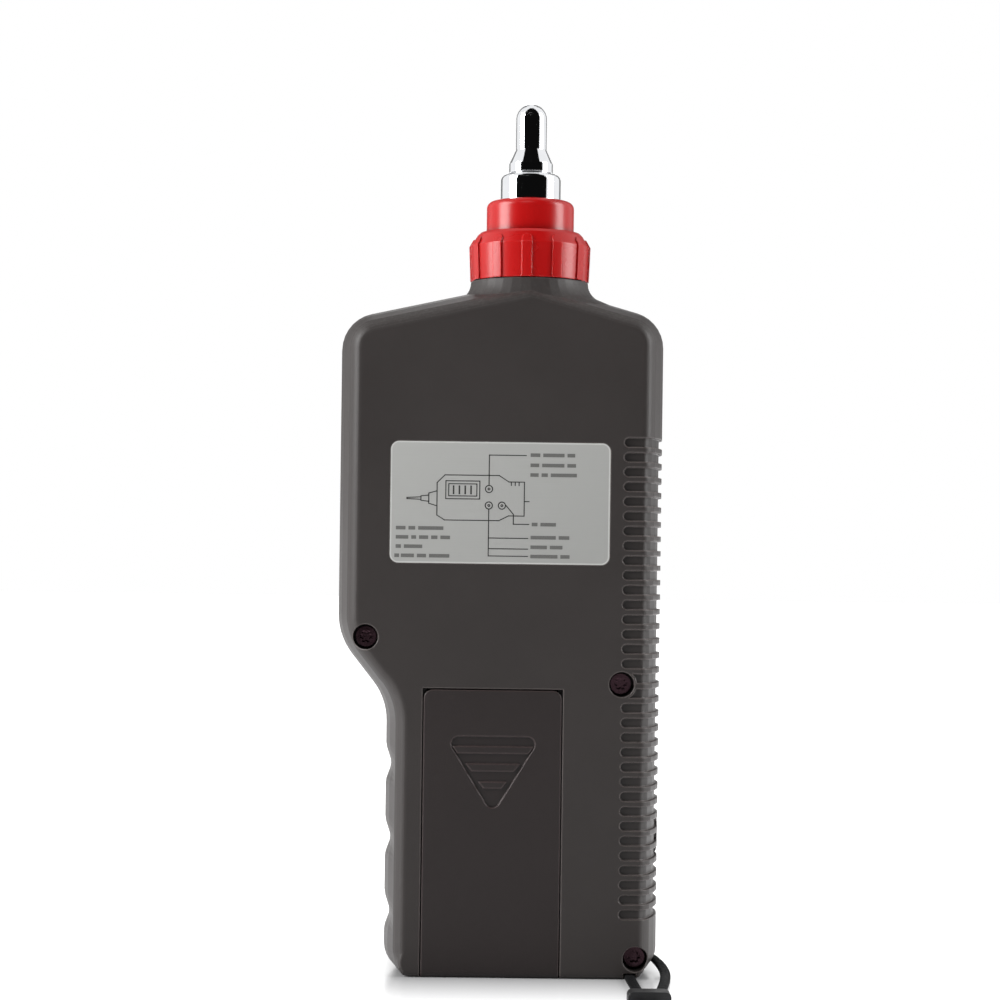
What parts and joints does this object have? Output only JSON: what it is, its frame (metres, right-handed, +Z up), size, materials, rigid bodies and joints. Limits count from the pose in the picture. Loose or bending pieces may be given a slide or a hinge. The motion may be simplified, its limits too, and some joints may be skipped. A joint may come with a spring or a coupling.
{
  "type": "handheld vibration meter",
  "caption": "Handheld vibration meter with a short screw-in probe, ribbed collar nut, gripped case with a sliding battery door, display, push buttons and a wrist strap.",
  "frame": {"origin": "middle of the case's footprint, on the surface that the base stands on", "axes": "+Z up the case to the probe tip, -Y out of the back with the label and battery door, +X to the ribbed side"},
  "size_m": [0.0704, 0.1156, 0.183],
  "materials": {
    "case_plastic": "fine satin texture",
    "door_plastic": "fine satin texture",
    "red_plastic": "semi-gloss moulded",
    "chrome": "bright polished",
    "steel": "turned",
    "blackened_steel": "blackened",
    "brass": "turned",
    "ceramic": "fired ceramic",
    "label_film": "satin printed film",
    "window_plastic": "clear glossy window with a dark border",
    "lcd_glass": "grey-green display",
    "white_plastic": "matte",
    "pink_rubber": "matte",
    "board": "solder mask",
    "circuit_parts": "matte",
    "panel_plastic": "satin",
    "black_plastic": "satin",
    "battery_jacket": "printed metal jacket, bare of print",
    "lead_rubber": "satin insulation",
    "black_rubber": "matte",
    "red_button": "satin moulded",
    "grey_button": "satin moulded",
    "strap_fabric": "flat braided cord"
  },
  "bodies": {
    "case": {"rear_shell": "case_plastic", "front_shell": "case_plastic", "case_screws": "blackened_steel", "rear_label": "label_film", "lcd_window": "window_plastic", "lcd_holder": "white_plastic", "lcd_glass": "lcd_glass", "contact_strips": "pink_rubber", "main_board": "board", "circuit_parts": "circuit_parts", "board_screws": "steel", "key_switches": "circuit_parts", "front_panel": "panel_plastic", "output_jack": "black_plastic", "battery": "battery_jacket", "battery_snap": "black_plastic", "battery_leads": "lead_rubber", "sensor_can": "steel", "isolation_ring": "black_rubber", "probe_base": "chrome", "piezo_rings": "ceramic", "seismic_mass": "brass", "sensor_bolt": "steel", "sensor_lead": "lead_rubber", "nose_sleeve": "red_plastic", "wrist_strap": "strap_fabric", "strap_slider": "black_plastic"},
    "door": {"battery_door": "door_plastic", "battery_pad": "black_rubber"},
    "measure_key": {"measure_button": "red_button", "measure_plunger": "circuit_parts"},
    "function_key": {"function_button": "grey_button", "function_plunger": "circuit_parts"},
    "range_key": {"range_button": "grey_button", "range_plunger": "circuit_parts"},
    "collar_ring": {"collar_washer": "black_rubber"},
    "collar": {"collar_nut": "red_plastic"},
    "tip_ring": {"tip_washer": "steel"},
    "tip": {"probe_tip": "chrome"}
  },
  "joints": [
    {"name": "door_slide", "type": "slide", "parent": "case", "child": "door", "axis": [0, 0, -1], "range_m": [0, 0.061]},
    {"name": "measure_press", "type": "slide", "parent": "case", "child": "measure_key", "axis": [0, -1, 0], "range_m": [0, 0.0008], "stiffness_N_per_m": 1500},
    {"name": "function_press", "type": "slide", "parent": "case", "child": "function_key", "axis": [0, -1, 0], "range_m": [0, 0.0008], "stiffness_N_per_m": 1500},
    {"name": "range_press", "type": "slide", "parent": "case", "child": "range_key", "axis": [0, -1, 0], "range_m": [0, 0.0008], "stiffness_N_per_m": 1500},
    {"name": "collar_rise", "type": "slide", "parent": "case", "child": "collar_ring", "axis": [0, 0, 1], "range_m": [0, 0.003]},
    {"name": "collar_turn", "type": "hinge", "parent": "collar_ring", "child": "collar", "pos_m": [0.0055, 0, 0.15], "axis": [0, 0, 1], "range_deg": [0, 720]},
    {"name": "tip_rise", "type": "slide", "parent": "case", "child": "tip_ring", "axis": [0, 0, 1], "range_m": [0, 0.004]},
    {"name": "tip_turn", "type": "hinge", "parent": "tip_ring", "child": "tip", "pos_m": [0.0055, 0, 0.17], "axis": [0, 0, 1], "range_deg": [0, 1800]}
  ],
  "couplings": [
    {"joint": "collar_turn", "follows": "collar_rise", "rad_per_m": 4188},
    {"joint": "tip_turn", "follows": "tip_rise", "rad_per_m": 7850}
  ]
}
